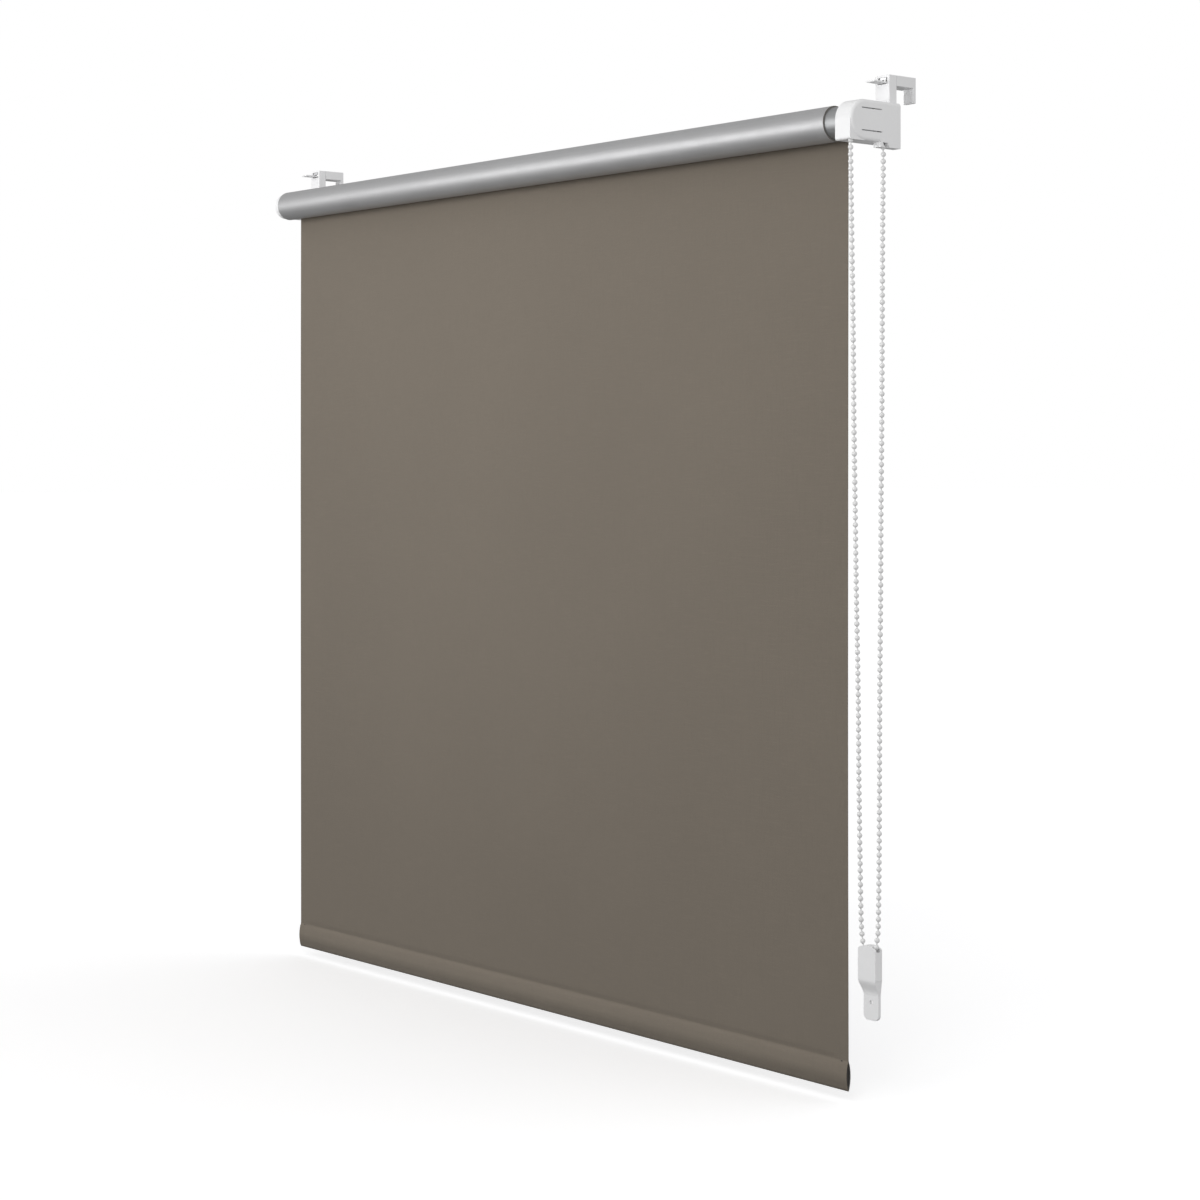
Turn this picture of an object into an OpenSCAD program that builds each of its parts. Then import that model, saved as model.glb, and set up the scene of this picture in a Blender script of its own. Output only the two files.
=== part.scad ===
// Clamp-on roller blind with an endless bead-chain drive.
// Millimetres. +X runs along the roll towards the chain side, -Y faces the
// room, +Z is up. The origin is the top front edge of the window sash, half
// way along the blind: Y = 0 is the sash's front face and Z = 0 its top edge.

/* [Blind] */
// Overall width over the two end brackets
blind_w = 904; // [704:2:1500]
// Drop from the roll axis to the bottom edge of the cloth
drop = 829; // [780:1:860]
// Height of the sash's top edge above the roll axis
axis_below_edge = 33; // [31:0.5:36]
// Thickness of the window sash that the clamps grip
sash_t = 20; // [16:1:24]

/* [Roll] */
// Outer diameter of the roller tube
tube_d = 28; // [28:0.1:28.4]
// Wall of the roller tube
tube_wall = 1; // [0.9:0.05:1.1]
// Thickness of the coated cloth
cloth_t = 0.4; // [0.3:0.05:0.45]
// Wraps of cloth that stay on the tube when the blind is down
wraps = 4; // [3:1:4]

/* [Bottom bar] */
// Height of the hem pocket
hem_h = 26; // [24:1:32]
// Thickness of the hem pocket
hem_t = 5; // [4.8:0.1:6]
// Height of the flat bar
bar_h = 21; // [18:1:22]
// Thickness of the flat bar
bar_t = 3.4; // [2.8:0.1:3.4]

/* [Drive casing] */
// Width of the casing along the roll
casing_w = 19; // [19:0.5:24]
// Radius of the casing's round front
casing_r = 17.5; // [17.5:0.1:19]
// Depth of the casing from the sash to its round front
casing_d = 60; // [58:1:64]
// Rounding between the casing's end face and its sides
edge_r = 3; // [2:0.5:4]

/* [Bead chain] */
// Diameter of a bead
bead_d = 4.5; // [4.4:0.1:4.5]
// Distance from bead to bead
bead_pitch = 6; // [6:0.01:6.02]
// Bead pockets round the sprocket
pockets = 14; // [14:1:14]

/* [Clamps] */
// Width of a clamp
stem_w = 16.5; // [15:0.5:17]
// Depth of the upright stem in front of the sash
stem_d = 8.8; // [8.6:0.1:10]
// Height of the hook's head above the sash
head_h = 9; // [9:0.5:11]
// How far the hook reaches down behind the sash
leg_h = 13; // [10:1:16]
// Thickness of the hook's leg
leg_t = 3; // [2.5:0.1:4]
// Width of the strap
strap_w = 10; // [8:0.5:10.4]
// How far the strap's tail stands out in front of the stem
strap_tail = 15; // [8:1:20]

/* [Hidden] */
$fn = 64;
eps = 0.01;
past = 1; // how far a cut runs past the face it opens

// Where things are along the roll
x_out = blind_w / 2;            // the casing's end face
x_in = x_out - casing_w;        // the casing's inner face
x_roll_r = x_in - 2.4;          // right end of the tube
x_roll_l = -x_out + 8;          // left end of the tube
x_cloth_r = x_in - 16.5;        // right edge of the cloth
x_cloth_l = x_roll_l + 0.5;     // left edge of the cloth
x_chain = x_out - 4.5;          // plane of the sprocket's beads
x_arm = -x_out;                 // outer face of the idle bracket
arm_t = 6;                      // thickness of the idle bracket's arm
x_clamp_r = x_out - 13;         // middle of the right clamp
x_clamp_l = -x_out + 9;         // middle of the left clamp

// The roll axis and the cloth
axis_y = casing_r - casing_d;
axis_z = -axis_below_edge;
tube_r = tube_d / 2;
roll_in_r = tube_r + 0.05;
roll_r = tube_r + wraps * cloth_t;
sheet_y = axis_y + roll_r - cloth_t / 2;
bottom_z = axis_z - drop;
hem_top = bottom_z + hem_h;
hem_arc_r = 44.5;               // radius of the pocket's front and back
sheet_top = axis_z - 5;

// Drive end
cover_t = 1.6;
end_t = 1.3;
cavity_r = casing_r - 1.5;
foot_z = axis_z - 21.5;         // lowest edge of the casing's rear foot
foot_d = 24;                    // depth of that foot
foot_half = 4.2;                // from the chain's plane to the foot's inner side
chute_side = 1.2;               // from the end face to the front chute
chute_corner = 2;
core_r = 5;
journal_r = 6.55;
hub_bore_r = 6.6;
neck_r = 11;
sleeve_r = 9.3;
core_tip = x_roll_r - 32;
pitch_r = bead_pitch / (2 * sin(180 / pockets));
pocket_angle = 360 / pockets;
bead_r = bead_d / 2;
string_r = 0.6;
chain_gap = bead_r + 0.45;      // half the width of the chain's channels
// The rear strand leaves the sprocket at wrap_pockets pockets past the front
wrap_pockets = 6;
wrap_angle = 180 - wrap_pockets * pocket_angle;
strand_rear_y = -16.5;          // where the rear strand leaves the foot
leave_y = axis_y + pitch_r * cos(wrap_angle);
leave_z = axis_z + pitch_r * sin(wrap_angle);
rear_run = norm([strand_rear_y - leave_y, foot_z - leave_z]);
rear_dir = [strand_rear_y - leave_y, foot_z - leave_z] / rear_run;
rear_side = [-rear_dir[1], rear_dir[0]];
front_beads = 4;                // beads below the sprocket on the front side
rear_beads = 5;                 // beads below the sprocket on the rear side

// Idle end
arm_r = 13.5;
block_d = 10;
pin_r = 4;
pin_bore_r = 4.05;
bearing_r = 4.1;
chamber_r = 6;
x_chamber = x_roll_l + 6;       // where the plug's bore widens for the spring
x_plug_end = x_roll_l + 28;

// Clamps
tongue = [7.8, 4.8, 21.9];      // plug-in tongue below the stem
socket = [8, 5, 22];            // socket that takes it
socket_y = -6.5;
seat_z = axis_z + casing_r;     // top of the casing, where the stem stands
slot_w = 10.8;
slot_z0 = 1.5;
slot_z1 = 7.2;
strap_z = 2;
strap_t = 1.4;
tooth_pitch = 1.5;
teeth = 12;
pad_t = 0.8;
screw_r = 2;
leg_w = 11.5;                   // width of the hook's leg
screw_y = -stem_d / 2;

// Chain loop and tensioner. x counts from x_chain.
route = [
    [0, -56, -60], [-1, -53.5, -135], [-2, -51, -210], [-3.5, -48.5, -285],
    [-4.5, -46, -360], [-5.5, -43.5, -435], [-6.5, -40.5, -510],
    [-8, -38, -585], [-9, -35.5, -660], [-9.5, -33.6, -712],
    [-8.5, -33, -727], [-7.2, -33, -736], [-7.1, -33, -749],
    [-6.1, -33, -752.6], [-3.6, -33, -755.2], [0, -33, -756.1],
    [3.6, -33, -755.2], [6.1, -33, -752.6], [7.1, -33, -749],
    [7.2, -33, -736], [8.5, -33, -727], [9.5, -32.5, -712],
    [9, -31, -660], [8, -29.5, -585], [6.5, -27.5, -510],
    [5.5, -25.5, -435], [4.5, -24, -360], [3.5, -22, -285],
    [2, -20, -210], [1, -18.5, -135], [0, -16.5, -60]
];
tube_sides = 8;
tens_y = -33;                   // plane of the chain in the tensioner
tens_top = -731;
tens_turn = -749;               // centre of the chain's turn
tens_foot = -795;
tens_w = 20.6;
tens_tab_w = 17.5;
plate_t = 1.4;                  // front wall of the cover
tens_plate_t = 2;               // back plate
tab_t = 3;                      // tab with the screw hole
side_t = 0.6;                   // side walls of the cover
tens_back = tens_y + 4.4;
tens_front = tens_y - 4;
tens_split = tens_back - tens_plate_t; // where cover and back plate meet
island_r = 4.4;
mouth_z = tens_top - 5;         // the side walls start below this height
slope_top = -760;
slope_foot = -773;
tab_hole_r = 1.8;
tab_hole_z = -780;

// ---- helpers -------------------------------------------------------------

// A box from its lowest to its highest corner
module block(lo, hi) {
    translate(lo) cube(hi - lo);
}

// A YZ outline made solid from x0 to x1
module along_x(x0, x1) {
    translate([x0, 0, 0]) rotate([90, 0, 90]) linear_extrude(x1 - x0) children();
}

// An XZ outline made solid from y0 to y1
module along_y(y0, y1) {
    translate([0, y1, 0]) rotate([90, 0, 0]) linear_extrude(y1 - y0) children();
}

// A cylinder about the roll axis
module disc(r, x0, x1) {
    translate([x0, axis_y, axis_z]) rotate([0, 90, 0]) cylinder(r = r, h = x1 - x0);
}

// A sleeve about the roll axis
module ring(ro, ri, x0, x1) {
    difference() {
        disc(ro, x0, x1);
        disc(ri, x0 - past, x1 + past);
    }
}

// Spokes from r0 to r1 about the roll axis
module spokes(count, t, r0, r1, x0, x1) {
    for (i = [0 : count - 1])
        translate([x0, axis_y, axis_z])
            rotate([i * 360 / count, 0, 0])
                translate([0, r0, -t / 2])
                    cube([x1 - x0, r1 - r0, t]);
}

function unit(v) = v / norm(v);

// Point on the chain's wrap: pocket number, counted from the front over the top
function wrap_point(k) = [
    axis_y + pitch_r * cos(180 - k * pocket_angle),
    axis_z + pitch_r * sin(180 - k * pocket_angle)
];

// Rings of points round a list of centres, each ring square to the path
function path_dir(p, i) =
    unit(p[min(i + 1, len(p) - 1)] - p[max(i - 1, 0)]);
function ring_at(c, d, ref, r, sides) =
    let (u = unit(cross(d, ref)), v = cross(d, u))
    [for (k = [0 : sides - 1])
        c + r * (cos(360 * k / sides) * u + sin(360 * k / sides) * v)];
function quad_faces(a, b, c, d) = [[a, b, c], [a, c, d]];

// A closed tube swept along the centres p; ref is never along the path
module swept(p, r, sides, refs) {
    n = len(p);
    points = [for (i = [0 : n - 1])
        each ring_at(p[i], path_dir(p, i), refs[min(i, len(refs) - 1)], r, sides)];
    skin = [for (i = [0 : n - 2]) for (k = [0 : sides - 1])
        let (a = i * sides + k, b = i * sides + (k + 1) % sides)
        each quad_faces(a, b, b + sides, a + sides)];
    caps = [[for (k = [0 : sides - 1]) sides - 1 - k],
            [for (k = [0 : sides - 1]) (n - 1) * sides + k]];
    polyhedron(points = points, faces = concat(skin, caps));
}

// A round point on the curve through p[i] and p[i + 1]
function curve(p, i, t) =
    let (a = p[max(i - 1, 0)], b = p[i], c = p[i + 1],
         d = p[min(i + 2, len(p) - 1)])
    0.5 * (2 * b + (c - a) * t + (2 * a - 5 * b + 4 * c - d) * t * t
           + (3 * b - a - 3 * c + d) * t * t * t);

// Centres of a coil spring about the roll axis
function coil(x0, x1, r, turns, steps) =
    [for (i = [0 : turns * steps])
        [x0 + (x1 - x0) * i / (turns * steps),
         axis_y + r * cos(360 * i / steps),
         axis_z + r * sin(360 * i / steps)]];

module coil_spring(x0, x1, r, wire_r, turns) {
    swept(coil(x0, x1, r, turns, 14), wire_r, 6, [[1, 0, 0]]);
}

// ---- drive end -----------------------------------------------------------

// Outline of the casing without its foot
module casing_outline() {
    translate([axis_y, axis_z]) circle(r = casing_r);
    translate([axis_y, axis_z - casing_r]) square([-axis_y, 2 * casing_r]);
}

// Squared front below the axis, which the front strand runs down through
module chute_outline() {
    translate([-casing_d + chute_corner, axis_z - casing_r]) {
        square([casing_r - chute_corner, casing_r]);
        translate([0, chute_corner]) circle(r = chute_corner);
        translate([-chute_corner, chute_corner])
            square([casing_r, casing_r - chute_corner]);
    }
}

module foot_outline() {
    translate([-foot_d, foot_z]) square([foot_d, axis_z - foot_z]);
}

// Strip that the rear strand runs down, wide enough for its beads
module rear_channel_outline() {
    start = [leave_y, leave_z];
    stop = start + rear_dir * (rear_run + 4);
    polygon([start + rear_side * chain_gap, stop + rear_side * chain_gap,
             stop - rear_side * chain_gap, start - rear_side * chain_gap]);
}

module casing_solid() {
    x0 = x_in + cover_t;
    w = x_out - x0;
    // round front
    translate([x0, axis_y, axis_z]) rotate([0, 90, 0]) rotate([0, 0, 180])
        rotate_extrude(angle = 180) {
            square([casing_r, w - edge_r]);
            square([casing_r - edge_r, w]);
            translate([casing_r - edge_r, w - edge_r]) circle(r = edge_r);
        }
    // straight back
    along_y(axis_y, 0) {
        translate([x0, axis_z - casing_r]) square([w - edge_r, 2 * casing_r]);
        translate([x0, axis_z - casing_r + edge_r])
            square([w, 2 * (casing_r - edge_r)]);
        for (s = [-1, 1])
            translate([x_out - edge_r, axis_z + s * (casing_r - edge_r)])
                circle(r = edge_r);
    }
    along_x(x0, x_out - chute_side) chute_outline();
    along_x(x_chain - foot_half, x_out) foot_outline();
}

module drive_housing() {
    slot_y0 = -47;
    slot_y1 = -22.5;
    slot_t = 1;
    color("whitesmoke") difference() {
        casing_solid();
        disc(cavity_r, x_in, x_out - end_t);
        // channels of the two strands
        along_x(x_chain - chain_gap, x_chain + chain_gap) {
            rear_channel_outline();
            translate([axis_y - pitch_r - chain_gap, foot_z - past])
                square([2 * chain_gap, axis_z - foot_z + past]);
        }
        // the rear strand's mouth is open on the end side
        intersection() {
            along_x(x_chain, x_out + past) rear_channel_outline();
            block([x_in, -foot_d, foot_z - 4], [x_out + past, 0, axis_z - casing_r]);
        }
        // recessed lines on the end face
        for (z = [axis_z + 10, axis_z - 9])
            block([x_out - 3, slot_y0, z - slot_t / 2],
                  [x_out + past, slot_y1, z + slot_t / 2]);
        clamp_socket(x_clamp_r);
    }
}

module clamp_socket(x) {
    block([x - socket[0] / 2, socket_y, seat_z - socket[2]],
          [x + socket[0] / 2, socket_y + socket[1], seat_z + past]);
}

module drive_cover() {
    color("white") difference() {
        along_x(x_in, x_in + cover_t) {
            casing_outline();
            chute_outline();
        }
        disc(neck_r + 0.3, x_in - past, x_in + cover_t + past);
    }
}

module drive_core() {
    groove = 1.4;
    color("gainsboro") {
        disc(core_r - 0.5, core_tip, x_out - end_t);
        disc(core_r, core_tip, core_tip + 1.5);
        disc(core_r, core_tip + 1.5 + groove, x_out - end_t);
        disc(journal_r, core_tip + 4, core_tip + 8.5);
        disc(journal_r, x_in - 0.5, x_in + 4.5);
    }
}

module core_clip() {
    color("silver") difference() {
        ring(8, core_r - 0.4, core_tip + 1.6, core_tip + 2.8);
        translate([core_tip, axis_y - 2.5, axis_z])
            cube([4, 5, 12]);
    }
}

// Beads and string inside the casing, over the sprocket and down both sides
module chain_wrap() {
    over = [for (k = [0 : wrap_pockets]) wrap_point(k)];
    front = [for (k = [front_beads : -1 : 1])
        [axis_y - pitch_r, axis_z - k * bead_pitch]];
    rear = [for (k = [1 : rear_beads])
        [leave_y, leave_z] + rear_dir * (k * bead_pitch)];
    beads = concat(front, over, rear);
    color("white") {
        for (b = beads)
            translate([x_chain, b[0], b[1]]) sphere(r = bead_r, $fn = 24);
        for (i = [0 : len(beads) - 2])
            string_between(beads[i], beads[i + 1]);
    }
}

module string_between(a, b) {
    run = b - a;
    translate([x_chain, a[0], a[1]])
        rotate([atan2(run[1], run[0]) - 90, 0, 0])
            cylinder(r = string_r, h = norm(run), $fn = 16);
}

module sprocket() {
    x0 = x_chain - 3.3;
    color("gainsboro") difference() {
        union() {
            disc(pitch_r + 0.4, x0, x_chain + 2.9);
            disc(sleeve_r, x_in + 5, x0 + past);
            spokes(4, 3, sleeve_r - past, sleeve_r + 0.8, x_in + 5, x0 + past);
        }
        disc(core_r + 0.05, x_in, x_out);
        for (k = [0 : pockets - 1])
            translate([x_chain, axis_y, axis_z])
                rotate([k * pocket_angle, 0, 0])
                    translate([0, -pitch_r, 0]) sphere(r = bead_r + 0.15, $fn = 24);
        ring(pitch_r + past, pitch_r - 1.2, x_chain - 0.8, x_chain + 0.8);
    }
}

module drive_hub() {
    x0 = core_tip + 3.6;
    body_r = tube_r - tube_wall - 0.05;
    color("white") difference() {
        union() {
            disc(8.4, x0, x_roll_r);
            disc(body_r, x0, x0 + 2);
            disc(body_r, x_roll_r - 3, x_roll_r);
            spokes(8, 1.6, 8, body_r, x0, x_roll_r);
            disc(tube_r + 0.5, x_roll_r, x_roll_r + 1.4);
            disc(neck_r, x_roll_r, x_chain - 3.7);
        }
        disc(hub_bore_r, x0 - past, x_out);
        disc(sleeve_r + 0.1, x_in + 4.8, x_out);
        spokes(4, 3.2, 0, sleeve_r + 0.9, x_in + 4.8, x_out);
    }
}

module clutch_spring_a() {
    color("silver") coil_spring(core_tip + 10, core_tip + 18, 5.85, 0.4, 8);
}

module clutch_spring_b() {
    color("silver") coil_spring(core_tip + 20, core_tip + 28, 5.85, 0.4, 8);
}

// ---- roll ----------------------------------------------------------------

module tube() {
    color("lightgray") ring(tube_r, tube_r - tube_wall, x_roll_l, x_roll_r);
}

module fabric_roll() {
    color("silver") ring(roll_r, roll_in_r, x_cloth_l, x_cloth_r);
}

// ---- idle end ------------------------------------------------------------

module idle_bracket() {
    color("whitesmoke") difference() {
        union() {
            along_x(x_arm, x_arm + arm_t) {
                translate([axis_y, axis_z]) circle(r = arm_r);
                translate([axis_y, axis_z - arm_r]) square([-axis_y, 2 * arm_r]);
            }
            block([x_arm, -block_d, axis_z - casing_r],
                  [x_clamp_l + stem_w / 2, 0, seat_z]);
        }
        disc(bearing_r, x_arm + 1.5, x_arm + arm_t + past);
        clamp_socket(x_clamp_l);
    }
}

module idle_plug() {
    body_r = tube_r - tube_wall - 0.05;
    color("white") difference() {
        union() {
            disc(tube_r, x_roll_l - 1.5, x_roll_l);
            disc(7.6, x_roll_l, x_plug_end);
            disc(body_r, x_roll_l, x_roll_l + 3);
            disc(body_r, x_plug_end - 2, x_plug_end);
            spokes(8, 1.6, 7, body_r, x_roll_l, x_plug_end);
        }
        disc(pin_bore_r, x_roll_l - 3, x_plug_end);
        disc(chamber_r, x_chamber, x_plug_end + past);
    }
}

module idle_end_cap() {
    color("gainsboro") ring(chamber_r - 0.05, 3.3, x_plug_end - 2, x_plug_end);
}

module idle_pin() {
    color("darkgray") {
        disc(pin_r, x_arm + 2, x_chamber + 0.5);
        disc(5.6, x_chamber + 0.4, x_chamber + 2.4);
        disc(3, x_chamber + 2.3, x_plug_end - 4);
    }
}

module idle_spring() {
    wire_r = 0.45;
    color("silver")
        coil_spring(x_chamber + 2.5 + wire_r, x_plug_end - 2.1 - wire_r, 4.45, wire_r, 6);
}

// ---- clamps --------------------------------------------------------------

module clamp_carrier(x) {
    color("white") difference() {
        union() {
            block([x - stem_w / 2, -stem_d, seat_z + 0.1], [x + stem_w / 2, 0, head_h]);
            block([x - tongue[0] / 2, socket_y + 0.1, seat_z - tongue[2]],
                  [x + tongue[0] / 2, socket_y + 0.1 + tongue[1], seat_z + past]);
        }
        block([x - slot_w / 2, -stem_d - past, slot_z0], [x + slot_w / 2, past, slot_z1]);
        translate([x, screw_y, slot_z1 - past]) cylinder(r = screw_r + 0.1, h = head_h);
    }
}

module clamp_nut(x) {
    color("silver") translate([x, screw_y, slot_z1 - 2.1]) difference() {
        translate([-3.5, -3.5, 0]) cube([7, 7, 2]);
        translate([0, 0, -past]) cylinder(r = screw_r + 0.05, h = 4);
    }
}

module clamp_screw(x) {
    color("dimgray") translate([x, screw_y, 0]) difference() {
        translate([0, 0, strap_z + strap_t + 0.1])
            cylinder(r = screw_r, h = head_h - strap_z - strap_t - 0.2);
        translate([0, 0, head_h - 2.2]) cylinder(r = 1.15, h = 4, $fn = 6);
    }
}

module clamp_hook(x) {
    head_y = 0.25;
    inner_y = sash_t + pad_t;
    wall = 1.5;
    leg_x = x + stem_w / 2 - leg_w;
    color("white") difference() {
        union() {
            block([x - strap_w / 2, -stem_d - strap_tail, strap_z],
                  [x + strap_w / 2, head_y + past, strap_z + strap_t]);
            block([x - stem_w / 2, head_y, 0], [x + stem_w / 2, inner_y + leg_t, head_h]);
            block([leg_x, inner_y, -leg_h], [x + stem_w / 2, inner_y + leg_t, past]);
        }
        // the head is a tray, open above
        block([x - stem_w / 2 + wall, head_y + wall, 2 * wall],
              [x + stem_w / 2 - wall, inner_y + leg_t - wall, head_h + past]);
        // fine teeth across the strap
        for (k = [0 : teeth - 1])
            translate([x - strap_w, -stem_d - 3 - k * tooth_pitch / 1.5, strap_z])
                rotate([45, 0, 0])
                    translate([0, -0.25, -0.25]) cube([2 * strap_w, 0.5, 0.5]);
    }
}

module hook_pad(x) {
    color("lightgray")
        block([x + stem_w / 2 - leg_w + 1.5, sash_t, -leg_h + 1],
              [x + stem_w / 2 - 1.5, sash_t + pad_t, -3]);
}

// ---- cloth and bottom bar ------------------------------------------------

module fabric_sheet() {
    color("rosybrown")
        block([x_cloth_l, sheet_y - cloth_t / 2, hem_top],
              [x_cloth_r, sheet_y + cloth_t / 2, sheet_top]);
}

// Flat lens, h tall and t thick in its middle. Sections of different t have
// their arcs about the same two centres, so the wall between them is even.
module hem_section(t, h) {
    r = hem_arc_r - (hem_t - t) / 2;
    translate([sheet_y, bottom_z + hem_h / 2]) intersection() {
        translate([hem_arc_r - hem_t / 2, 0]) circle(r = r);
        translate([hem_t / 2 - hem_arc_r, 0]) circle(r = r);
        square([t, h], center = true);
    }
}

module hem_pocket() {
    color("rosybrown") difference() {
        along_x(x_cloth_l, x_cloth_r) hem_section(hem_t, hem_h);
        along_x(x_cloth_l - past, x_cloth_r + past)
            hem_section(hem_t - 2 * cloth_t, hem_h - 2 * cloth_t);
    }
}

module bottom_bar() {
    color("silver") along_x(x_cloth_l + 3, x_cloth_r - 3) hem_section(bar_t, bar_h);
}

// Cap on one end of the bar, closed at x_closed and 8 mm long
module bar_cap(x_closed, side) {
    x_open = x_closed - side * 8;
    color("dimgray") difference() {
        along_x(min(x_closed, x_open), max(x_closed, x_open))
            hem_section(hem_t - 2 * cloth_t - 0.1, hem_h - 2 * cloth_t - 0.1);
        along_x(min(x_closed - 2 * side, x_open - side * past),
                max(x_closed - 2 * side, x_open - side * past))
            hem_section(bar_t + 0.1, bar_h + 0.1);
    }
}

// ---- chain ---------------------------------------------------------------

module chain_loop() {
    // more rings on the long straight spans than in the turn
    centres = [for (i = [0 : len(route) - 2])
        let (steps = norm(route[i + 1] - route[i]) > 50 ? 3 : 2)
        for (k = [0 : steps - 1]) curve(route, i, k / steps)];
    path = [for (p = concat(centres, [route[len(route) - 1]])) p + [x_chain, 0, 0]];
    color("white") swept(path, bead_r, tube_sides, [[0, 1, 0]]);
}

// Outline of the tensioner: a domed top, straight sides, a slightly narrower tab
module tensioner_outline() {
    half = tens_w / 2;
    tab = tens_tab_w / 2;
    corner = 5;
    intersection() {
        translate([x_chain - half, slope_top])
            square([tens_w, tens_top - slope_top]);
        translate([x_chain, tens_top - 20]) circle(r = 20);
    }
    translate([x_chain, 0])
        polygon([[-half, slope_top + eps], [-tab, slope_foot],
                 [-tab, tens_foot + corner], [tab, tens_foot + corner],
                 [tab, slope_foot], [half, slope_top + eps]]);
    for (s = [-1, 1])
        translate([x_chain + s * (tab - corner), tens_foot + corner]) circle(r = corner);
    translate([x_chain - tab + corner, tens_foot])
        square([2 * (tab - corner), corner]);
}

// Side view of the cover: full depth above, then an S-curve down to the tab
module cover_profile() {
    steps = 14;
    lip = 0.3;
    drop_y = tens_back - tab_t - lip - tens_front;
    curve = [for (i = [0 : steps])
        let (t = i / steps)
        [tens_front + drop_y * t * t * (3 - 2 * t),
         slope_top + (slope_foot - slope_top) * t]];
    polygon(concat([[tens_split, tens_top + past], [tens_front, tens_top + past]],
                   curve, [[tens_split, slope_foot]]));
}

// Room for the chain, seen from the front
module chain_room() {
    room_r = tens_w / 2 - side_t;
    translate([x_chain, tens_turn]) circle(r = room_r);
    translate([x_chain - room_r, tens_turn])
        square([2 * room_r, tens_top - 4.5 - tens_turn]);
    // mouths of the two strands, open above and to the side
    for (s = [-1, 1])
        translate([x_chain + s * tens_w / 2 - tens_w / 4, mouth_z])
            square([tens_w / 2, tens_top + past - mouth_z]);
}

module tensioner_body() {
    color("white") difference() {
        union() {
            along_y(tens_split, tens_back) tensioner_outline();
            intersection() {
                along_y(tens_back - tab_t, tens_split + eps) tensioner_outline();
                block([x_chain - tens_w, tens_front, tens_foot], [x_chain + tens_w, 0, slope_foot]);
            }
            // rib that the chain turns round
            along_y(tens_front + plate_t, tens_split + past) {
                translate([x_chain, tens_turn]) circle(r = island_r);
                translate([x_chain - island_r, tens_turn])
                    square([2 * island_r, tens_top - 5 - tens_turn]);
            }
        }
        translate([x_chain, tens_back + past, tab_hole_z]) rotate([90, 0, 0])
            cylinder(r = tab_hole_r, h = 3 * tab_t);
        cover_pegs(1.5, 3.2);
    }
}

module cover_pegs(r, length) {
    for (z = [tens_top - 8, tens_turn])
        translate([x_chain, tens_front + plate_t + length, z]) rotate([90, 0, 0])
            cylinder(r = r, h = length + eps, $fn = 32);
}

module tensioner_cover() {
    color("white") {
        difference() {
            intersection() {
                along_y(tens_front, tens_split) tensioner_outline();
                along_x(x_chain - tens_w, x_chain + tens_w) cover_profile();
            }
            along_y(tens_front + plate_t, tens_split + past) chain_room();
        }
        cover_pegs(1.45, 3);
    }
}

drive_housing();
drive_cover();
drive_core();
core_clip();
chain_wrap();
idle_bracket();
clamp_carrier(x_clamp_r);  // clamp_carrier_r
clamp_carrier(x_clamp_l);  // clamp_carrier_l
clamp_nut(x_clamp_r);  // clamp_nut_r
clamp_nut(x_clamp_l);  // clamp_nut_l
clamp_hook(x_clamp_r);  // clamp_hook_r
clamp_hook(x_clamp_l);  // clamp_hook_l
hook_pad(x_clamp_r);  // hook_pad_r
hook_pad(x_clamp_l);  // hook_pad_l
clamp_screw(x_clamp_r);  // clamp_screw_r
clamp_screw(x_clamp_l);  // clamp_screw_l
tube();
fabric_roll();
drive_hub();
sprocket();
clutch_spring_a();
clutch_spring_b();
idle_plug();
idle_end_cap();
idle_pin();
idle_spring();
fabric_sheet();
hem_pocket();
bottom_bar();
bar_cap(x_cloth_r - 1, 1);  // bar_cap_r
bar_cap(x_cloth_l + 1, -1);  // bar_cap_l
chain_loop();
tensioner_body();
tensioner_cover();
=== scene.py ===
import math
import bmesh
import bpy
import numpy as np
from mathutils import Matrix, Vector


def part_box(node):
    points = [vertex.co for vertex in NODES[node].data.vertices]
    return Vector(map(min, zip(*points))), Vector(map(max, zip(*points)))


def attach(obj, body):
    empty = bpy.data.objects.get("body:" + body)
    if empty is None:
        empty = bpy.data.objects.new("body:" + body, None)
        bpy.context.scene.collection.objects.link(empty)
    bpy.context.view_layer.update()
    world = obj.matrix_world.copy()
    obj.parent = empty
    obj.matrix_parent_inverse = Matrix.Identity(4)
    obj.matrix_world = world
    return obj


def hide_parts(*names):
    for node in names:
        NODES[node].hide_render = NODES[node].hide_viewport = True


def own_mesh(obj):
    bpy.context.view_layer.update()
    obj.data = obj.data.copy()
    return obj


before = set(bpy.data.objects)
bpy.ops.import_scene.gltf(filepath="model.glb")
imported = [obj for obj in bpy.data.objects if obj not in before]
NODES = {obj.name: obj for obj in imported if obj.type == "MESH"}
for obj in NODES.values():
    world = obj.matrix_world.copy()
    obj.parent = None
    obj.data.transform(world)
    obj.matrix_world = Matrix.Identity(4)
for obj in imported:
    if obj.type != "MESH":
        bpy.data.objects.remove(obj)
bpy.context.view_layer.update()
scene = bpy.context.scene
MM = 0.001


# ---- camera ---------------------------------------------------------------

camera_data = bpy.data.cameras.new("camera")
camera_data.sensor_width = 36
camera_data.lens = 75
camera_data.shift_y = -0.106
camera = bpy.data.objects.new("camera", camera_data)
camera.location = (1.932, -1.560, -0.331)
camera.rotation_euler = (math.radians(90), 0, math.radians(50.35))
scene.collection.objects.link(camera)
scene.camera = camera


# ---- mesh helpers ---------------------------------------------------------

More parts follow.
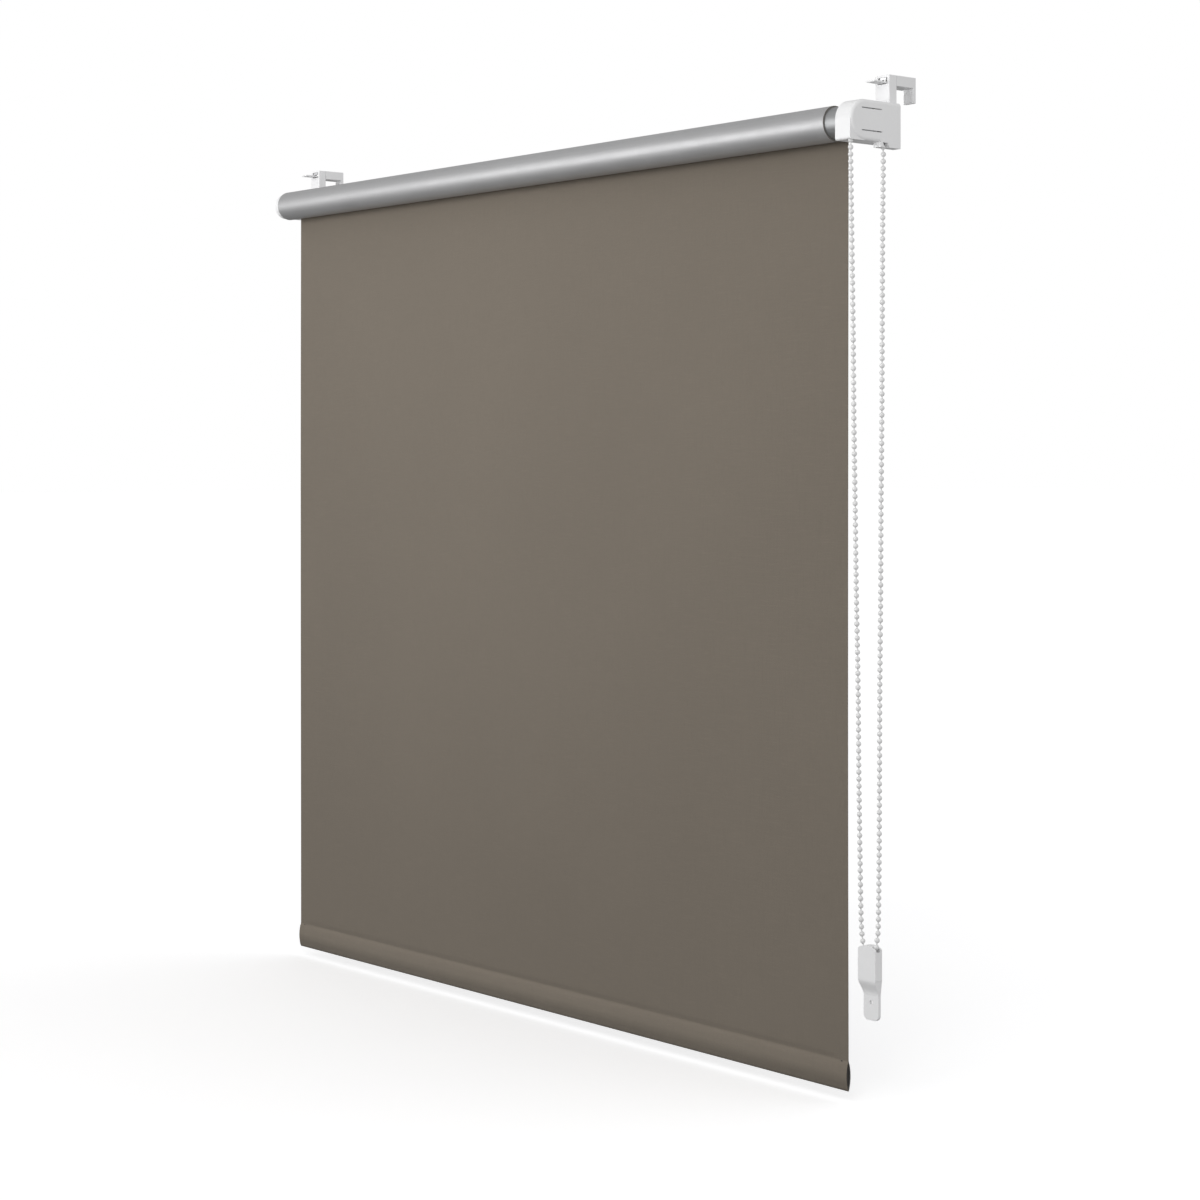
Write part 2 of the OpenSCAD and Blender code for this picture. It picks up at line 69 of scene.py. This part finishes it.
def make(name, points, faces, materials, which=None, sharp=35):
    """A mesh object, smooth but for edges sharper than that many degrees."""
    mesh = bpy.data.meshes.new(name)
    mesh.from_pydata([tuple(p) for p in points], [], faces)
    for m in materials:
        mesh.materials.append(m)
    if which is not None:
        mesh.polygons.foreach_set("material_index", which)
    mesh.polygons.foreach_set("use_smooth", [True] * len(mesh.polygons))
    bm = bmesh.new()
    bm.from_mesh(mesh)
    bmesh.ops.recalc_face_normals(bm, faces=bm.faces)
    limit = math.radians(sharp)
    for e in bm.edges:
        e.smooth = e.calc_face_angle(0) < limit
    bm.to_mesh(mesh)
    bm.free()
    obj = bpy.data.objects.new(name, mesh)
    scene.collection.objects.link(obj)
    return obj


def tube_rings(line, radius, sides):
    """Rings of points round a line, each square to it."""
    rings = []
    side = Vector((0, 1, 0))
    for i, p in enumerate(line):
        along = (line[min(i + 1, len(line) - 1)] - line[max(i - 1, 0)]).normalized()
        side = (side - along * side.dot(along)).normalized()
        other = along.cross(side)
        rings.append([p + radius * (math.cos(a) * side + math.sin(a) * other)
                      for a in (2 * math.pi * k / sides for k in range(sides))])
    return rings


def skin(rings, closed=True, caps=True, start=0):
    """Faces between rings of equal size, and over the two ends."""
    n = len(rings[0])
    faces = []
    for i in range(len(rings) - 1):
        for k in range(n if closed else n - 1):
            a, b = start + i * n + k, start + i * n + (k + 1) % n
            faces.append((a, b, b + n, a + n))
    if caps:
        faces.append(tuple(start + k for k in reversed(range(n))))
        faces.append(tuple(start + (len(rings) - 1) * n + k for k in range(n)))
    return faces


def smooth_line(points, step):
    """Points a step apart on the round curve through the given ones."""
    pts = [Vector(p) for p in points]
    pts = [2 * pts[0] - pts[1]] + pts + [2 * pts[-1] - pts[-2]]
    fine = []
    for i in range(1, len(pts) - 2):
        a, b, c, d = pts[i - 1:i + 3]
        for k in range(24):
            t = k / 24
            fine.append(0.5 * (2 * b + (c - a) * t + (2 * a - 5 * b + 4 * c - d) * t * t
                               + (3 * b - a - 3 * c + d) * t ** 3))
    fine.append(pts[-2])
    line = np.array(fine)
    along = np.concatenate([[0], np.cumsum(np.linalg.norm(np.diff(line, axis=0), axis=1))])
    at = np.linspace(0, along[-1], int(round(along[-1] / step)) + 1)
    return [Vector(p) for p in np.stack([np.interp(at, along, line[:, k]) for k in range(3)], 1)]


# ---- materials ------------------------------------------------------------

class Look:
    """A node material, in metres of the row frame."""

    def __init__(self, name, **sockets):
        self.material = bpy.data.materials.new(name)
        self.material.use_nodes = True
        self.tree = self.material.node_tree
        self.shader = self.tree.nodes["Principled BSDF"]
        for k, v in sockets.items():
            self.shader.inputs[k.replace("_", " ")].default_value = v
        self.place = self.add("ShaderNodeTexCoord").outputs["Object"]
        self.bumped = None

    def add(self, kind, sockets=(), **props):
        node = self.tree.nodes.new(kind)
        for k, v in props.items():
            setattr(node, k, v)
        for k, v in dict(sockets).items():
            if isinstance(v, bpy.types.NodeSocket):
                self.tree.links.new(v, node.inputs[k])
            else:
                node.inputs[k].default_value = v
        return node

    def stretched(self, scale):
        return self.add("ShaderNodeMapping", {"Vector": self.place, "Scale": scale}).outputs[0]

    def noise(self, scale, detail=2, stretch=None, rough=0.5):
        place = self.stretched(stretch) if stretch else self.place
        return self.add("ShaderNodeTexNoise", {
            "Vector": place, "Scale": scale, "Detail": detail, "Roughness": rough}).outputs["Fac"]

    def math(self, what, a, b=0.0):
        return self.add("ShaderNodeMath", {0: a, 1: b}, operation=what).outputs[0]

    def fit(self, value, lo, hi, to_lo, to_hi):
        return self.add("ShaderNodeMapRange", {
            "Value": value, "From Min": lo, "From Max": hi,
            "To Min": to_lo, "To Max": to_hi}).outputs[0]

    def mix(self, share, a, b):
        rgba = [c if isinstance(c, bpy.types.NodeSocket) else (*c, 1) for c in (a, b)]
        node = self.add("ShaderNodeMix", {0: share, 6: rgba[0], 7: rgba[1]}, data_type="RGBA")
        return node.outputs[2]

    def bump(self, height, distance, strength=1.0):
        sockets = {"Height": height, "Distance": distance, "Strength": strength}
        if self.bumped is not None:
            sockets["Normal"] = self.bumped
        self.bumped = self.add("ShaderNodeBump", sockets).outputs[0]

    def set(self, **sockets):
        for k, v in sockets.items():
            self.tree.links.new(v, self.shader.inputs[k.replace("_", " ")])
        if self.bumped is not None:
            self.tree.links.new(self.bumped, self.shader.inputs["Normal"])
        return self.material


def scaled(colour, by):
    return tuple(c * by for c in colour)


def plastic(name, colour, rough, grain=0.00003, **sockets):
    """Moulded plastic: fine spark grain, cloudy gloss and a little handling dirt."""
    m = Look(name, Specular_IOR_Level=0.5, **sockets)
    cloud = m.noise(22, 3)
    speck = m.noise(420, 2)
    base = m.mix(m.fit(cloud, 0.3, 0.7, 0, 1), scaled(colour, 0.965), colour)
    base = m.mix(m.fit(speck, 0.35, 0.75, 0, 0.35), base, scaled(colour, 0.94))
    gloss = m.fit(m.noise(75, 3), 0.3, 0.7, rough - 0.06, rough + 0.07)
    m.bump(m.noise(2600, 2), grain)
    m.bump(m.noise(140, 2), 0.00004, 0.5)
    return m.set(Base_Color=base, Roughness=gloss)


def metal(name, colour, rough, stretch, grain=0.00001):
    """Metal with drawn lines along one axis."""
    m = Look(name, Metallic=1.0)
    lines = m.noise(1, 4, stretch, 0.6)
    cloud = m.noise(40, 3)
    base = m.mix(m.fit(lines, 0.3, 0.7, 0, 1), scaled(colour, 0.86), colour)
    base = m.mix(m.fit(cloud, 0.45, 0.75, 0, 0.4), base, scaled(colour, 0.8))
    m.bump(lines, grain)
    return m.set(Base_Color=base, Roughness=m.fit(lines, 0.3, 0.7, rough - 0.08, rough + 0.1))


TAUPE = (0.187, 0.160, 0.128)


def weave(m, pitch, across="X", up="Z"):
    """Height of a plain weave: threads over and under each other."""
    parts = m.add("ShaderNodeSeparateXYZ", {0: m.place})
    a = m.math("MULTIPLY", parts.outputs[across], math.pi / pitch)
    b = m.math("MULTIPLY", parts.outputs[up], math.pi / pitch)
    over = m.math("MULTIPLY", m.math("SINE", a), m.math("SINE", b))
    warp = m.math("ABSOLUTE", m.math("SINE", a))
    weft = m.math("ABSOLUTE", m.math("SINE", b))
    is_warp = m.math("GREATER_THAN", over, 0.0)
    warp_side = m.math("MULTIPLY", warp, is_warp)
    weft_side = m.math("MULTIPLY", weft, m.math("SUBTRACT", 1.0, is_warp))
    return m.math("ADD", warp_side, weft_side), is_warp


def cloth_face(name, tone, painted_shade_z=None):
    m = Look(name, Specular_IOR_Level=0.25, Sheen_Weight=0.12, Sheen_Roughness=0.5)
    m.shader.inputs["Sheen Tint"].default_value = (0.9, 0.85, 0.78, 1)
    height, is_warp = weave(m, 0.00055)
    slub_x = m.noise(1, 2, (45, 400, 1600))
    slub_z = m.noise(1, 2, (1600, 400, 38))
    melange = m.noise(1500, 3, None, 0.7)
    cloud = m.noise(3.2, 2)
    base = m.mix(m.fit(cloud, 0.3, 0.7, 0, 1), scaled(tone, 0.95), scaled(tone, 1.04))
    base = m.mix(m.math("MULTIPLY", is_warp, 0.5), base, scaled(tone, 1.12))
    base = m.mix(m.fit(slub_x, 0.5, 0.8, 0, 0.35), base, scaled(tone, 1.35))
    base = m.mix(m.fit(slub_z, 0.5, 0.8, 0, 0.3), base, scaled(tone, 0.72))
    base = m.mix(m.fit(melange, 0.4, 0.75, 0, 0.4), base, scaled(tone, 0.78))
    # Painted shade: the colour darkens in the gaps between the threads.
    base = m.mix(m.fit(height, 0.0, 0.45, 0.45, 0), base, scaled(tone, 0.45))
    # Painted shade: below the given height the colour goes darker, a little mottled, and darkest
    # in a band along the bottom edge.
    if painted_shade_z is not None:
        parts = m.add("ShaderNodeSeparateXYZ", {0: m.place})
        low = m.fit(parts.outputs["Z"], painted_shade_z - 0.004, painted_shade_z + 0.004, 0.36, 0)
        painted_shade_mottle = m.fit(m.noise(60, 3), 0.3, 0.7, 0.8, 1)
        base = m.mix(m.math("MULTIPLY", low, painted_shade_mottle), base, scaled(tone, 0.35))
        base = m.mix(m.fit(parts.outputs["Z"], painted_shade_z - 0.0115, painted_shade_z - 0.0085, 0.65, 0),
                     base, scaled(tone, 0.3))
    m.bump(height, 0.00009)
    m.bump(slub_x, 0.00006, 0.6)
    m.bump(m.noise(4200, 2), 0.00003, 0.7)
    return m.set(Base_Color=base, Roughness=m.fit(melange, 0.3, 0.7, 0.78, 0.94))


def cloth_coating(name):
    """Pearl-silver blackout coating; the weave shows through faintly."""
    m = Look(name, Metallic=0.72, Specular_IOR_Level=0.5)
    height, _ = weave(m, 0.00055)
    flake = m.noise(5200, 1)
    cloud = m.noise(7, 3)
    streak = m.noise(1, 3, (9, 900, 900))
    tone = (0.45, 0.45, 0.455)
    base = m.mix(m.fit(cloud, 0.3, 0.7, 0, 1), scaled(tone, 0.96), scaled(tone, 1.03))
    base = m.mix(m.fit(flake, 0.45, 0.8, 0, 0.5), base, scaled(tone, 1.35))
    base = m.mix(m.fit(streak, 0.4, 0.8, 0, 0.25), base, scaled(tone, 0.85))
    m.bump(height, 0.00002)
    m.bump(flake, 0.00001)
    return m.set(Base_Color=base, Roughness=m.fit(m.noise(60, 3), 0.3, 0.7, 0.46, 0.54))


def cut_edge(name, tone):
    """The cut edge of the cloth, with its layers showing."""
    m = Look(name, Specular_IOR_Level=0.2)
    fibre = m.noise(1, 3, (3000, 3000, 260))
    base = m.mix(m.fit(fibre, 0.35, 0.7, 0, 1), scaled(tone, 0.45), scaled(tone, 0.95))
    m.bump(fibre, 0.00005)
    return m.set(Base_Color=base, Roughness=m.fit(fibre, 0.3, 0.7, 0.8, 0.95))


# The pads' pale foam tone is partly painted light: it makes the hook's leg, which lies in shade,
# read as lit.
def foam(name):
    m = Look(name, Specular_IOR_Level=0.2)
    cell = m.add("ShaderNodeTexVoronoi", {"Vector": m.place, "Scale": 2600}).outputs["Distance"]
    # Painted shade: the colour darkens in the pores.
    base = m.mix(m.fit(cell, 0.0, 0.6, 0, 1), (0.66, 0.66, 0.67), (0.82, 0.82, 0.825))
    m.bump(cell, 0.00015)
    return m.set(Base_Color=base, Roughness=m.fit(cell, 0, 1, 0.85, 0.97))


FACE = cloth_face("taupe_weave", TAUPE)
COATING = cloth_coating("silver_coating")
EDGE = cut_edge("cloth_cut_edge", scaled(TAUPE, 0.95))
ROLL_EDGE = cut_edge("roll_cut_edge", (0.30, 0.28, 0.255))
BEAD = plastic("white_bead", (0.80, 0.80, 0.80), 0.30, 0.00001, Coat_Weight=0.15)
LOOKS = {
    "white_plastic": plastic("white_moulding", (0.86, 0.86, 0.865), 0.42),
    "clamp_plastic": plastic("clamp_moulding", (0.85, 0.85, 0.855), 0.45),
    "grey_plastic": plastic("grey_moulding", (0.42, 0.43, 0.44), 0.46),
    "bead_plastic": BEAD,
    "cap_plastic": plastic("dark_cap", (0.022, 0.020, 0.018), 0.5),
    "cloth_face": FACE,
    "cloth_coating": COATING,
    "tube_aluminium": metal("tube_mill_finish", (0.41, 0.415, 0.42), 0.54, (12, 1400, 1400)),
    "bar_aluminium": metal("bar_mill_finish", (0.74, 0.75, 0.76), 0.38, (12, 1400, 1400)),
    "spring_steel": metal("drawn_spring_wire", (0.55, 0.55, 0.56), 0.28, (700, 700, 700)),
    "screw_steel": metal("zinc_screw", (0.66, 0.66, 0.64), 0.30, (500, 500, 1500)),
    "pad_foam": foam("pad_foam_white"),
}
for node in NODES.values():
    node.data.materials[0] = LOOKS[node.data.materials[0].name.split(".")[0]]


# ---- moulded parts: small rounds on their edges ---------------------------

ROUNDED = {
    "drive_housing": 0.35, "drive_cover": 0.25, "idle_bracket": 0.6,
    "clamp_carrier_r": 0.45, "clamp_carrier_l": 0.45, "clamp_hook_r": 0.35,
    "clamp_hook_l": 0.35, "tensioner_body": 0.35, "tensioner_cover": 0.35,
    "bar_cap_r": 0.12, "bar_cap_l": 0.12, "hook_pad_r": 0.15, "hook_pad_l": 0.15,
}
for name, width in ROUNDED.items():
    node = NODES[name]
    weld = node.modifiers.new("weld", "WELD")
    weld.merge_threshold = 1e-6
    flat = node.modifiers.new("flat", "DECIMATE")
    flat.decimate_type = "DISSOLVE"
    flat.angle_limit = math.radians(0.4)
    bevel = node.modifiers.new("bevel", "BEVEL")
    bevel.width = width * MM
    bevel.segments = 3
    bevel.limit_method = "ANGLE"
    bevel.angle_limit = math.radians(38)
    bevel.use_clamp_overlap = True
    normals = node.modifiers.new("normals", "WEIGHTED_NORMAL")
    normals.keep_sharp = True
    normals.weight = 80


# ---- bead chain -----------------------------------------------------------

X_CHAIN = 447.5
ROUTE = [
    (0, -56, -60), (-1, -53.5, -135), (-2, -51, -210), (-3.5, -48.5, -285),
    (-4.5, -46, -360), (-5.5, -43.5, -435), (-6.5, -40.5, -510),
    (-8, -38, -585), (-9, -35.5, -660), (-9.5, -33.6, -712),
    (-8.5, -33, -727), (-7.2, -33, -736), (-7.1, -33, -749),
    (-6.1, -33, -752.6), (-3.6, -33, -755.2), (0, -33, -756.1),
    (3.6, -33, -755.2), (6.1, -33, -752.6), (7.1, -33, -749),
    (7.2, -33, -736), (8.5, -33, -727), (9.5, -32.5, -712),
    (9, -31, -660), (8, -29.5, -585), (6.5, -27.5, -510),
    (5.5, -25.5, -435), (4.5, -24, -360), (3.5, -22, -285),
    (2, -20, -210), (1, -18.5, -135), (0, -16.5, -60),
]
BEAD_R = 2.25 * MM
STRING_R = 0.6 * MM
FIRST_BEAD = 3 * MM


def bead(centre, along, rings=9, sides=14):
    """A moulded bead: a ball with small collars on the string."""
    side = Vector((0, 1, 0))
    side = (side - along * side.dot(along)).normalized()
    other = along.cross(side)
    outline = [(-1.10, 0.28)]
    for k in range(1, rings):
        a = math.pi * k / rings
        outline.append((-math.cos(a), math.sin(a)))
    outline.append((1.10, 0.28))
    return [[centre + BEAD_R * (u * along + v * (math.cos(t) * side + math.sin(t) * other))
             for t in (2 * math.pi * j / sides for j in range(sides))] for u, v in outline]


route = smooth_line([((X_CHAIN + x) * MM, y * MM, z * MM) for x, y, z in ROUTE], MM)
chain_m = sum((b - a).length for a, b in zip(route, route[1:]))
string_line = route[::2] + [route[-1]] * (len(route) % 2 == 0)
string_line[0] = route[0] + Vector((0, 0, 1.6 * MM))
string_line[-1] = route[-1] + Vector((0, -0.3 * MM, 3.9 * MM))
rings = tube_rings(string_line, STRING_R, 8)
chain_points = [p for r in rings for p in r]
chain_faces = skin(rings)
bead_count = int(round((chain_m - FIRST_BEAD) / (6 * MM))) + 1
pitch = (chain_m - FIRST_BEAD) / (bead_count - 1)
step = chain_m / (len(route) - 1)
for i in range(bead_count):
    at = (FIRST_BEAD + i * pitch) / step
    k = min(int(at), len(route) - 2)
    centre = route[k].lerp(route[k + 1], at - k)
    along = (route[min(k + 2, len(route) - 1)] - route[max(k - 1, 0)]).normalized()
    ball = bead(centre, along)
    chain_faces += skin(ball, start=len(chain_points))
    chain_points += [p for r in ball for p in r]
chain = make("bead_chain", chain_points, chain_faces, [BEAD], sharp=80)
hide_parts("chain_loop")
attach(chain, "chain")


# ---- cloth on the roll ----------------------------------------------------

CLOTH_T = 0.4 * MM
CREEP = 0.25 * MM     # how far a turn's edge may stand back from the next
roll_lo, roll_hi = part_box("fabric_roll")
sheet_lo, sheet_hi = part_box("fabric_sheet")
hem_lo, hem_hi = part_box("hem_pocket")
AXIS_Y, AXIS_Z = (roll_lo.y + roll_hi.y) / 2, (roll_lo.z + roll_hi.z) / 2
ROLL_R = (roll_hi.z - roll_lo.z) / 2
SHEET_Y = (sheet_lo.y + sheet_hi.y) / 2
WRAPS = 4
STEPS = 96

# The spiral's section: out along its outer side and back along its inner side
turns = [k / STEPS for k in range(WRAPS * STEPS - 3)]
GAP = 0.02 * MM


def spiral(turn, r_out):
    """Point on the spiral; turn 0 is where the cloth leaves at the back."""
    a = 2 * math.pi * turn
    r = r_out - CLOTH_T * turn
    return AXIS_Y + r * math.cos(a), AXIS_Z + r * math.sin(a)


outer = [spiral(t, ROLL_R) for t in turns]
inner = [spiral(t, ROLL_R - CLOTH_T + GAP) for t in reversed(turns)]
section = outer + inner
columns = 9
roll_rings = []
for c in range(columns):
    share = c / (columns - 1)
    ring = []
    for k, (y, z) in enumerate(section):
        turn = turns[k] if k < len(turns) else turns[len(section) - 1 - k]
        creep = abs(CREEP * math.sin(5.1 * turn) * (2 * share - 1) ** 3)
        x = roll_lo.x + share * (roll_hi.x - roll_lo.x)
        ring.append((x - creep if share > 0.5 else x + creep, y, z))
    roll_rings.append(ring)
n = len(section)
roll_faces = skin(roll_rings, caps=False)
which = []
for c in range(columns - 1):
    which += [0] * (len(turns) - 1) + [2] + [1] * (len(turns) - 1) + [2]
for end in (0, columns - 1):
    for k in range(len(turns) - 1):
        a, b = k, k + 1
        c, d = n - 2 - k, n - 1 - k
        quad = [end * n + v for v in (a, b, c, d)]
        roll_faces.append(tuple(quad if end else reversed(quad)))
        which.append(2)
roll = make("roll_cloth", [p for r in roll_rings for p in r], roll_faces,
            [COATING, FACE, ROLL_EDGE], which)
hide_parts("fabric_roll")
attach(roll, "roll")


# ---- hanging cloth --------------------------------------------------------

NX, NZ = 124, 112
TOP_Z = AXIS_Z - 1.5 * MM
HEM_TOP = hem_hi.z
SEAM = 8 * MM         # the strip above the hem that has closer rows
SEAM_ROWS = 10
CREASE_DEPTH = 0.8 * MM
CREASE_REACH = 3.2 * MM
END_FREE = 9 * MM     # no crease this close to the cloth's edges
END_FADE = 14 * MM
CLEAR = 0.03 * MM


def bell(t):
    return max(0.0, math.sin(math.pi * min(max(t, 0), 1))) ** 0.8


def crease(x, z):
    """The pressed line along the pocket's top stands back a little."""
    end = min(max((min(x - sheet_lo.x, sheet_hi.x - x) - END_FREE) / END_FADE, 0), 1)
    return CREASE_DEPTH * end * math.exp(-((z - HEM_TOP) / CREASE_REACH) ** 2)


def ripple(x, z):
    """How far the cloth stands out of its plane: faint long waves, and edges that curl."""
    down = (sheet_hi.z - z) / (sheet_hi.z - HEM_TOP)
    free = bell(down)
    wave = 0.35 * math.sin(9.0 * x + 1.3 * math.sin(3.1 * z)) + 0.22 * math.sin(17.0 * x - 5.0 * z)
    side = min(x - sheet_lo.x, sheet_hi.x - x)
    curl = 0.9 * math.exp(-side / 0.012)
    return (wave * free - curl * free ** 1.5) * MM


def front_back(z, x):
    """Where the cloth's two faces are; the top of it lies against the roll."""
    if z > sheet_hi.z:
        on_roll = AXIS_Y + math.sqrt(ROLL_R ** 2 - (z - AXIS_Z) ** 2) + CLEAR
        return max(SHEET_Y - CLOTH_T / 2, on_roll), SHEET_Y + CLOTH_T / 2 + CLEAR
    r = ripple(x, z) + crease(x, z)
    return SHEET_Y - CLOTH_T / 2 + r, SHEET_Y + CLOTH_T / 2 + r


levels = [HEM_TOP + SEAM * k / SEAM_ROWS for k in range(SEAM_ROWS)]
levels += [HEM_TOP + SEAM + (sheet_hi.z - HEM_TOP - SEAM) * k / NZ for k in range(NZ + 1)]
levels += [sheet_hi.z + (TOP_Z - sheet_hi.z) * k / 5 for k in range(1, 6)]
xs = [sheet_lo.x + (sheet_hi.x - sheet_lo.x) * k / NX for k in range(NX + 1)]
loops = []
for z in levels:
    pairs = [front_back(z, x) for x in xs]
    loops.append([(x, p[0], z) for x, p in zip(xs, pairs)]
                 + [(x, p[1], z) for x, p in reversed(list(zip(xs, pairs)))])
faces = skin(loops, caps=False)
which = ([0] * NX + [2] + [1] * NX + [2]) * (len(levels) - 1)
m = 2 * (NX + 1)
for end in (0, len(levels) - 1):
    for k in range(NX):
        quad = [end * m + v for v in (k, k + 1, m - 2 - k, m - 1 - k)]
        faces.append(tuple(quad if end else reversed(quad)))
        which.append(2)
sheet = make("hanging_cloth", [p for r in loops for p in r], faces, [FACE, COATING, EDGE],
             which)
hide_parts("fabric_sheet")


# ---- hem pocket -----------------------------------------------------------

HEM_H = hem_hi.z - hem_lo.z
HALF = (hem_hi.y - hem_lo.y) / 2
LENS_R = 44.5 * MM    # how round the pocket's sides are
WELD_HALF = 0.34 * MM
WELD_H = 3.2 * MM
TIP_H = 2.2 * MM
PROFILE = 22


def hem_half(t):
    """Half the pocket's thickness at share t of its height from the top."""
    lens = HALF - LENS_R + math.sqrt(LENS_R ** 2 - ((t - 0.5) * HEM_H) ** 2)
    if t < 0.5:
        weld = min(1.0, t * HEM_H / WELD_H)
        return WELD_HALF + (lens - WELD_HALF) * weld * weld * (3 - 2 * weld)
    tip = min(1.0, (1 - t) * HEM_H / TIP_H)
    return lens * math.sqrt(max(0.0, 1 - (1 - tip) ** 2))


def hem_loop(inset):
    """The pocket's outline, down the front and up the back."""
    ts = [0.5 - 0.5 * math.cos(math.pi * k / PROFILE) for k in range(PROFILE + 1)]
    down, up = [], []
    for t in ts:
        z = HEM_TOP - inset - t * (HEM_H - 2 * inset)
        h = max(hem_half(t) - inset, 0.02 * MM)
        down.append((SHEET_Y - h, z))
        up.append((SHEET_Y + h, z))
    return down + up[::-1]


hem_out = hem_loop(0)
hem_in = hem_loop(CLOTH_T)
columns = 63
hem_rings = []
for c in range(columns):
    share = c / (columns - 1)
    x = hem_lo.x + share * (hem_hi.x - hem_lo.x)
    ring = []
    for k, (y, z) in enumerate(hem_out + hem_in):
        t = (HEM_TOP - z) / HEM_H
        pucker = 0.10 * MM * (1 + math.sin(61 * x + 2 * math.sin(23 * x))) * bell(t)
        away = 1 if y > SHEET_Y else -1
        ring.append((x, y + pucker * away + crease(x, z), z))
    hem_rings.append(ring)
n_out, n_in = len(hem_out), len(hem_in)
n = n_out + n_in
faces, which = [], []
for c in range(columns - 1):
    for group, size, mat in ((0, n_out, 0), (n_out, n_in, 1)):
        for k in range(size):
            a, b = c * n + group + k, c * n + group + (k + 1) % size
            faces.append((a, b, b + n, a + n))
            which.append(mat)
for end in (0, columns - 1):
    for k in range(n_out):
        a, b = end * n + k, end * n + (k + 1) % n_out
        c, d = end * n + n_out + (k + 1) % n_out, end * n + n_out + k
        faces.append((a, b, c, d))
        which.append(2)
# The hem's weave is painted lighter than the rest of the cloth as a painted highlight, with
# painted shade on its lower half and along its bottom edge.
HEM_FACE_PAINTED_LIGHT_SHADE = cloth_face("hem_weave_painted_light_shade", scaled(TAUPE, 1.12), (hem_lo.z + hem_hi.z) / 2 - 0.002)
hem = make("hem_cloth", [p for r in hem_rings for p in r], faces, [HEM_FACE_PAINTED_LIGHT_SHADE, COATING, EDGE],
           which)
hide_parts("hem_pocket")
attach(hem, "bottom")

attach(sheet, "bottom")
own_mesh(sheet)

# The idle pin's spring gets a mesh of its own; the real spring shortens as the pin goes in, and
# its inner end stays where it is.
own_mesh(NODES["idle_spring"])


# ---- floor and light ------------------------------------------------------

FLOOR_Z = hem_lo.z - 0.010


def floor_look():
    m = Look("pale_floor", Specular_IOR_Level=0.2)
    base = m.mix(m.fit(m.noise(3, 3), 0.3, 0.7, 0, 1), (0.86, 0.86, 0.87), (0.88, 0.88, 0.885))
    m.bump(m.noise(300, 2), 0.00002)
    m.shader.inputs["Emission Color"].default_value = (1, 1, 1, 1)
    m.shader.inputs["Emission Strength"].default_value = 0.475
    return m.set(Base_Color=base, Roughness=m.fit(m.noise(30), 0, 1, 0.75, 0.9))


SPAN = 60
floor = make("floor", [(-SPAN, -SPAN, FLOOR_Z), (SPAN, -SPAN, FLOOR_Z), (SPAN, SPAN, FLOOR_Z),
                       (-SPAN, SPAN, FLOOR_Z)], [(0, 1, 2, 3)], [floor_look()])
floor.visible_diffuse = False
floor.visible_glossy = False

world = bpy.data.worlds.new("studio")
scene.world = world
world.use_nodes = True
tree = world.node_tree
tree.nodes.clear()
out = tree.nodes.new("ShaderNodeOutputWorld")
seen = tree.nodes.new("ShaderNodeBackground")
seen.inputs["Color"].default_value = (1, 1, 1, 1)
seen.inputs["Strength"].default_value = 1.0
lit = tree.nodes.new("ShaderNodeBackground")
coord = tree.nodes.new("ShaderNodeTexCoord")
parts = tree.nodes.new("ShaderNodeSeparateXYZ")
tree.links.new(coord.outputs["Generated"], parts.inputs[0])


def world_share(axis, lo, hi):
    """Soft step of the direction's part along one axis."""
    node = tree.nodes.new("ShaderNodeMapRange")
    node.interpolation_type = "SMOOTHSTEP"
    node.inputs["From Min"].default_value = lo
    node.inputs["From Max"].default_value = hi
    tree.links.new(parts.outputs[axis], node.inputs["Value"])
    return node.outputs[0]


def world_math(what, a, b):
    node = tree.nodes.new("ShaderNodeMath")
    node.operation = what
    for k, v in enumerate((a, b)):
        if isinstance(v, bpy.types.NodeSocket):
            tree.links.new(v, node.inputs[k])
        else:
            node.inputs[k].default_value = v
    return node.outputs[0]


above = world_share("Z", -0.45, -0.10)
high = world_share("Z", 0.30, 0.65)
front = world_share("Y", 0.35, -0.35)
side = world_share("X", -0.3, 0.6)
glow = world_math("ADD", world_math("MULTIPLY", front, 0.22), 0.16)
glow = world_math("ADD", world_math("MULTIPLY", glow, above), 0.28)
glow = world_math("MULTIPLY", glow, world_math("SUBTRACT", 1.0, high))
glow = world_math("ADD", world_math("MULTIPLY", high, 0.72), glow)
glow = world_math("ADD", world_math("MULTIPLY", side, 0.31), glow)
tree.links.new(glow, lit.inputs["Strength"])
path = tree.nodes.new("ShaderNodeLightPath")
both = tree.nodes.new("ShaderNodeMixShader")
tree.links.new(path.outputs["Is Camera Ray"], both.inputs[0])
tree.links.new(lit.outputs[0], both.inputs[1])
tree.links.new(seen.outputs[0], both.inputs[2])
tree.links.new(both.outputs[0], out.inputs["Surface"])


def soft_light(name, place, target, size, power):
    data = bpy.data.lights.new(name, "AREA")
    data.shape = "RECTANGLE"
    data.size, data.size_y = size
    data.energy = power
    obj = bpy.data.objects.new(name, data)
    obj.location = place
    obj.rotation_euler = (Vector(target) - Vector(place)).to_track_quat("-Z", "Y").to_euler()
    scene.collection.objects.link(obj)
    obj.visible_camera = False
    return obj


# The key would clear the soft shade under the hem, so it leaves the floor out
key = soft_light("key", (-0.25, -1.10, -0.02), (0, 0, -0.05), (1.5, 0.5), 8.4)
not_keyed = bpy.data.collections.new("not_keyed")
not_keyed.objects.link(floor)
not_keyed.collection_objects[0].light_linking.link_state = "EXCLUDE"
key.light_linking.receiver_collection = not_keyed
soft_light("fill", (1.00, -0.95, 0.15), (0.44, 0, 0), (0.5, 0.5), 2)
# The sheen is seen only as gloss along the roll
sheen = soft_light("sheen", (-2.00, -1.10, -0.02), (-0.35, 0, -0.02), (1.2, 0.7), 3.4)
sheen.visible_diffuse = False

scene.view_settings.view_transform = "Standard"
